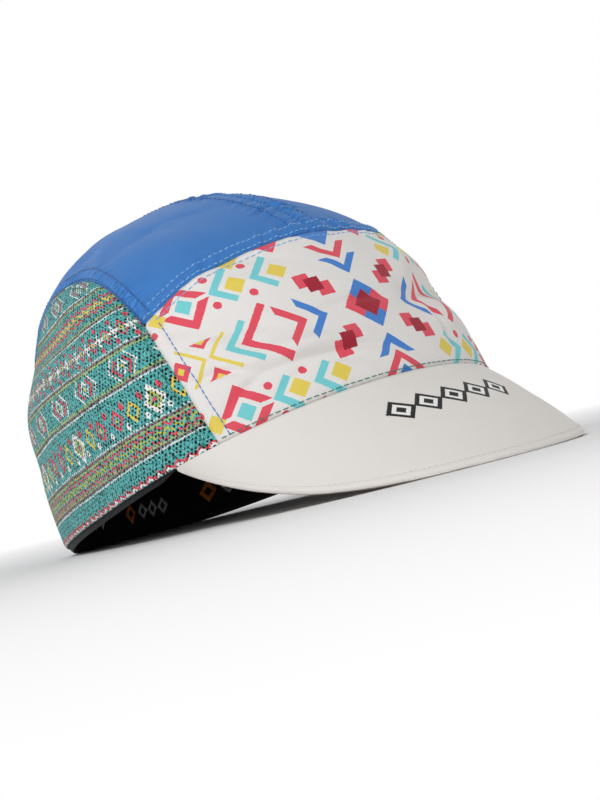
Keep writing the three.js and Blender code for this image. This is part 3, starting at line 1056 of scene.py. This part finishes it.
# The band's repeat in millimetres: its length, its height from the rim and its start, then the place and
# half diagonal of its first diamond and of the small ones after it
BAND_REPEAT = 46.0
BAND_MOTIF_HEIGHT = 7.6
BAND_MOTIF_START = 43.0
BAND_DIAMOND_PLACE = 6.0
BAND_DIAMOND = 4.0
BAND_SMALL_PLACES = (15.0, 21.6, 28.2)
BAND_SMALL = 3.1
BAND_RIB = 1.1


def band_cloth():
    finish = Finish("sweatband_cloth", 0.75, sheen=0.06, specular=0.3)
    x = (finish.round * -1 + BAND_MOTIF_START).math("WRAP", BAND_REPEAT, 0)
    y = abs(finish.up - BAND_MOTIF_HEIGHT)
    first = abs(x - BAND_DIAMOND_PLACE) + y
    layers = [
        (first.below(BAND_DIAMOND), ORANGE),
        (first.below(BAND_DIAMOND * 0.45), BLACK),
    ]
    for place in BAND_SMALL_PLACES:
        reach = abs(x - place) + y
        layers.append((reach.within(BAND_SMALL * 0.5, BAND_SMALL), PALE))
    rib = (finish.up * (2 * math.pi / BAND_RIB)).sine()
    grain = finish.noise(2.4)
    colour = finish.shade(finish.paint(BLACK, layers), grain, 0.8, 1.3)
    return finish.surface(colour, rib * 0.4 + grain, 0.12)


def thread(name, colour):
    finish = Finish(name, 0.55, sheen=0.2, specular=0.5)
    twist = finish.noise(3000, 2, add_node(finish.tree, "TexCoord").outputs["Object"])
    return finish.surface(finish.shade(colour, twist, 0.75, 1.2), twist, 0.1)


THREAD_COLOURS = {
    "blue": "2E74BE",
    "deep_blue": "1F4A8C",
    "light_blue": "7DB2E6",
    "green": "1E7768",
    "cream": "DDD8D0",
    "black": "17181C",
}
THREADS = {name: thread(name + "_thread", rgb(code)) for name, code in THREAD_COLOURS.items()}


# The crown's panels. Each sewn edge: sink, allowance, row of stitches, pucker length, pucker height, seed.
# Each grid: columns and rows.
BACK_SEAM_ANGLE = math.degrees(math.atan2(SIDE_SEAM[-1, 0], -SIDE_SEAM[-1, 1]))
FRONT_GRID = (210, 92)
SIDE_GRID = (230, 150)
TOP_GRID = (84, 300)

# The inner faces of all crown panels are painted dark as the shade inside the crown
painted_shade_reverse_material = painted_shade_reverse_side()
front_places = patch(
    lambda u: on_circle((2 * u - 1) * FRONT_SEAM_ANGLE, 0),
    lambda u: top_seam(2 * u - 1),
    lambda v: mirrored(front_seam(v)),
    front_seam,
    *FRONT_GRID,
)
front = panel(
    "front_panel_cloth", front_places, "front_panel", (printed_front(), painted_shade_reverse_material),
    {
        "start": (0.7, 0.3, 5.5, 13, 0.25, 21),
        "end": (0.7, 0.3, 5.5, 13, 0.25, 22),
        "high": (0.8, 0.2, 3.4, 8, 0.36, 23),
        "low": (0.7, 0.12, 2.4, 11, 0.25, 24),
    },
)

mesh_material = patterned_mesh()
blue_material = blue_top()
sides = {}
tops = {}
side_places = patch(
    lambda u: on_circle(FRONT_SEAM_ANGLE + (BACK_SEAM_ANGLE - FRONT_SEAM_ANGLE) * u, 0),
    lambda u: side_seam(SIDE_SEAM_SPLIT * u),
    front_seam,
    lambda v: side_seam(1 + (SIDE_SEAM_SPLIT - 1) * v),
    *SIDE_GRID,
)
top_places = patch(
    top_seam,
    lambda u: on_circle(180 + (BACK_SEAM_ANGLE - 180) * u, 0),
    lambda v: np.stack([np.zeros_like(v), -TOP_SEAM_SHARE + (1 + TOP_SEAM_SHARE) * v], -1),
    side_seam,
    *TOP_GRID,
)
for side in ("left", "right"):
    if side == "right":
        side_places = mirrored(side_places)
        top_places = mirrored(top_places)
    sides[side] = panel(
        "side_panel_%s_mesh" % side, side_places, "side_panel_" + side,
        (mesh_material, painted_shade_reverse_material),
        {
            "start": (0.8, 0.2, 4.6, 14, 0.15, 31),
            "high": (0.8, 0.2, 4.6, 12, 0.2, 32),
            "end": (0.8, 0.2, 4.6, 12, 0.2, 33),
        },
    )
    tops[side] = panel(
        "top_panel_%s_cloth" % side, top_places, "top_panel_" + side,
        (blue_material, painted_shade_reverse_material),
        {
            "start": (0.5, 0.6, 6.5, 5.0, 0.55, 41),
            "end": (0.9, 0.45, 5.0, 3.6, 0.55, 42),
            "low": (0.9, 0.4, 5.2, 6.0, 0.55, 43),
        },
        own_texture=True,
    )

# Sweatband: its length round, the roll below its top edge, and how its two edges are rounded
BAND_COLUMNS = 720
BAND_LENGTH = 552
BAND_ROLL = 0.8
BAND_ROLL_PLACE = 1.8
BAND_GATHER = 0.3
TOP_ROUNDING = 0.75
FOOT_ROUNDING = 0.6
ROUNDING_REACH = 0.5
band_angles = np.linspace(0, 360, BAND_COLUMNS, endpoint=False)
past_corner = np.minimum(band_angles, 360 - band_angles) - PEAK_CORNER_ANGLE
band_show = BAND_SHOW * ramp(past_corner, 0, BAND_EASE)
band_share = np.concatenate([
    [0, 0.015, 0.04, 0.08],
    np.linspace(0.14, 0.8, 10),
    np.linspace(0.84, 1, 12),
])[:, None]
band_height = -band_show[None] + (BAND_HEIGHT + band_show[None]) * band_share
band_places = on_circle(np.broadcast_to(band_angles, band_height.shape), band_height * RISE_PER_MM)
band_round = band_angles[None] * BAND_LENGTH / 360
band_depth = CLOTH_WALL + SEAM_GAP
below_top = BAND_HEIGHT - band_height
above_foot = band_height + band_show[None]
band_edge = TOP_ROUNDING * bell(below_top, ROUNDING_REACH) + FOOT_ROUNDING * bell(above_foot, ROUNDING_REACH)
roll = BAND_ROLL * bell(below_top - BAND_ROLL_PLACE, 1.6)
gather = BAND_GATHER * pucker(band_round + 0.2 * band_height, 13, 61) * ramp(band_height, 4, 12)
band_inside = -band_depth - BAND_WALL + band_edge - roll - gather - BAND_GATHER
slab(
    "sweatband_cloth",
    rested(cloth(band_places, -band_depth - band_edge)),
    rested(cloth(band_places, band_inside)),
    np.stack(np.broadcast_arrays(band_round, band_height, NO_SEAM), -1),
    "sweatband", (band_cloth(),), ring=True,
)

# Peak: two layers, rounded over together at their edge, with a row of stitches near it
PEAK_COLUMNS = 220
EDGE_ROW = 3.2
EDGE_ROW_DIP = 0.22
PEAK_WAVE = 0.12
ROUNDING = PEAK_THICKNESS / 2
peak_across = np.linspace(-1, 1, PEAK_COLUMNS + 1)[None]
peak_out = np.concatenate([np.linspace(0, 0.94, 40), np.linspace(0.95, 1, 14)])[:, None]
peak_distances = edge_distances(peak_at(*np.broadcast_arrays(peak_across, peak_out)))
inset = np.clip(1 - peak_distances["high"] / ROUNDING, 0, 1)
rounded = ROUNDING * (1 - np.sqrt(1 - inset ** 2))
stitch_dip = EDGE_ROW_DIP * bell(peak_distances["high"] - EDGE_ROW, 0.6)
peak_wave = PEAK_WAVE * pucker(peak_distances["start"], 26, 51) * ramp(peak_distances["low"], 0, 10)
peak_texture = np.stack([
    peak_distances["start"] - peak_distances["start"][:, -1:] / 2,
    peak_distances["low"],
    peak_distances["high"],
], -1)
top_face, middle_face, under_face = [
    rested(peak_cloth(peak_across, peak_out, depth))
    for depth in (
        rounded + stitch_dip - peak_wave,
        ROUNDING,
        PEAK_THICKNESS - rounded - stitch_dip - peak_wave,
    )
]
slab(
    "peak_top_cloth", top_face, middle_face, peak_texture, "peak_top", (peak_top_cloth(),),
)
# The peak's underside cloth, its colour darkened as painted shade
slab(
    "peak_under_cloth", middle_face, under_face, peak_texture, "peak_under",
    (peak_weave(peak_finish("peak_lining_painted_shade_cloth"), LINING_PAINTED_SHADE),),
)
peak_normals = grid_normals(top_face)
peak_normals *= np.sign(peak_normals[:, PEAK_COLUMNS // 2, 2]).mean()

# Rows of stitches: name, edge that it follows, distance from the edge, thread, the lengths left free at its
# ends, and a stitch's pitch, length and thickness
FRONT_ROWS = [
    ("right", "start", 5.5, "blue", (1, 3), 2.6, 2.55, 0.42),
    ("left", "end", 5.5, "blue", (1, 3), 2.6, 2.55, 0.42),
    ("top", "high", 3.4, "light_blue", (5, 5), 2.7, 2.4, 0.4),
    ("foot", "low", 1.5, "green", (2, 2), 3.0, 2.7, 0.4),
]
TOP_ROWS = [
    ("low", "low", 1.2, "light_blue", (1, 1), 2.4, 1.9, 0.5),
    ("high", "low", 5.2, "light_blue", (1, 5), 2.4, 1.9, 0.5),
    ("side", "end", 5.0, "deep_blue", (2, 1), 2.6, 2.4, 0.5),
    ("edge", "end", 0.9, "deep_blue", (2, 1), 2.6, 2.4, 0.4),
    ("middle", "start", 6.5, "deep_blue", (5, 1), 2.6, 2.2, 0.45),
]
MESH_ROWS = [
    ("front", "start", 4.6, "green", (1, 1), 2.8, 2.7, 0.55),
    ("high", "high", 4.6, "green", (4, 4), 2.8, 2.7, 0.55),
    ("back", "end", 4.6, "green", (1, 4), 2.8, 2.7, 0.55),
]
for name, *row in FRONT_ROWS:
    stitches("stitches_front_%s" % name, "front_cloth", front, *row)
for side in ("left", "right"):
    for name, *row in TOP_ROWS:
        stitches("stitches_top_%s_%s" % (name, side), "top_cloth", tops[side], *row)
    for name, *row in MESH_ROWS:
        stitches("stitches_mesh_%s_%s" % (name, side), "side_mesh", sides[side], *row)
peak = top_face, peak_normals, peak_distances
stitches("stitches_peak_edge", "peak_cloth", peak, "high", EDGE_ROW, "cream", (4, 4), 2.2, 1.9, 0.26)

# A short black bar of close stitches under the peak: its place across and out
TACK_ACROSS = 0.64
TACK_OUT = np.linspace(0.66, 0.74, 9)
tack_line, tack_inside = [
    rested(peak_cloth(TACK_ACROSS, TACK_OUT, depth)) for depth in (PEAK_THICKNESS, PEAK_THICKNESS - 1)
]
tack_up = tack_line - tack_inside
thread_row("stitches_peak_tack", "peak_lining", tack_line, tack_up, "black", (0, 0), 0.8, 1.1, 1.1)


# Floor, light and camera

BACKDROP = (1.0, 1.0, 1.0, 1)
ZENITH = (0.27, 0.27, 0.27, 1)

# The floor's half side, and the distance from the cap over which it fades into the backdrop
FLOOR_HALF = 6.0
FADE_START = 0.15
FADE_LENGTH = 0.6

# The height in the sky, as the sine of its angle, from which it dims, and over which
DIM_START = 0.25
DIM_LENGTH = 0.5


def floor():
    mesh = bpy.data.meshes.new("floor")
    corners = [(x * FLOOR_HALF, y * FLOOR_HALF, 0) for x, y in ((-1, -1), (1, -1), (1, 1), (-1, 1))]
    mesh.from_pydata(corners, [], [(0, 1, 2, 3)])
    material = bpy.data.materials.new("pale_floor")
    material.use_nodes = True
    tree = material.node_tree
    shader = tree.nodes["Principled BSDF"]
    shader.inputs["Base Color"].default_value = (0.86, 0.86, 0.86, 1)
    shader.inputs["Roughness"].default_value = 0.9
    glow = add_node(tree, "Emission", {"Color": BACKDROP})
    place = add_node(tree, "TexCoord").outputs["Object"]
    length = add_node(tree, "VectorMath", {0: place}, operation="LENGTH").outputs["Value"]
    fade = (Field(tree, length) - FADE_START).math("DIVIDE", FADE_LENGTH, clamp=True)
    mix = add_node(tree, "MixShader", {0: fade, 1: shader.outputs[0], 2: glow.outputs[0]})
    feed(tree, mix.outputs[0], tree.nodes["Material Output"].inputs["Surface"])
    mesh.materials.append(material)
    new_object("floor", mesh)


def studio():
    """A bright surround at eye level that dims overhead, so that the lamps model the form."""
    world = bpy.data.worlds.new("studio")
    world.use_nodes = True
    tree = world.node_tree
    place = add_node(tree, "TexCoord").outputs["Generated"]
    height = Field(tree, add_node(tree, "SeparateXYZ", {0: place}).outputs["Z"])
    dimness = (height - DIM_START).math("DIVIDE", DIM_LENGTH, clamp=True)
    feed(tree, mixed(tree, dimness, BACKDROP, ZENITH), tree.nodes["Background"].inputs["Color"])
    bpy.context.scene.world = world


def area_light(name, place, aim, size, power):
    light = bpy.data.lights.new(name, "AREA")
    light.size = size
    light.energy = power
    holder = new_object(name, light)
    holder.location = place
    holder.rotation_euler = (Vector(aim) - Vector(place)).to_track_quat("-Z", "Y").to_euler()


studio()
floor()
area_light("key_light", (-1.0, -0.35, 1.2), (0, 0, 0.05), 0.45, 8.7)
area_light("back_light", (0.6, 1.0, 1.1), (0, 0, 0.05), 0.8, 2)
area_light("fill_light", (-0.95, -0.35, 0.12), (0, 0, 0.02), 0.25, 0.6)

# The camera: its place round the cap in degrees, distance and height, what it looks at, roll in degrees, and
# focal length in pixels of an image 800 high
CAMERA_AZIMUTH = -40.1
CAMERA_DISTANCE = 1.0
CAMERA_HEIGHT = 0.022
CAMERA_AIM = Vector((0.0106, -0.0089, 0.038)) - Vector((ORIGIN[0] * MM, ORIGIN[1] * MM, 0))
CAMERA_ROLL = 13.9
CAMERA_FOCAL_PIXELS = 2598
IMAGE_HEIGHT = 800
SENSOR_HEIGHT = 36


def camera():
    turn = math.radians(CAMERA_AZIMUTH)
    lens = bpy.data.cameras.new("camera")
    lens.sensor_fit = "VERTICAL"
    lens.sensor_height = SENSOR_HEIGHT
    lens.lens = SENSOR_HEIGHT / IMAGE_HEIGHT * CAMERA_FOCAL_PIXELS
    holder = new_object("camera", lens)
    aside = Vector((math.sin(turn), -math.cos(turn), 0)) * CAMERA_DISTANCE
    holder.location = Vector((CAMERA_AIM.x, CAMERA_AIM.y, CAMERA_HEIGHT)) + aside
    level = (CAMERA_AIM - holder.location).to_track_quat("-Z", "Y").to_matrix()
    holder.rotation_euler = (level @ Matrix.Rotation(math.radians(-CAMERA_ROLL), 3, "Z")).to_euler()
    bpy.context.scene.camera = holder


camera()
bpy.context.scene.view_settings.view_transform = "Standard"

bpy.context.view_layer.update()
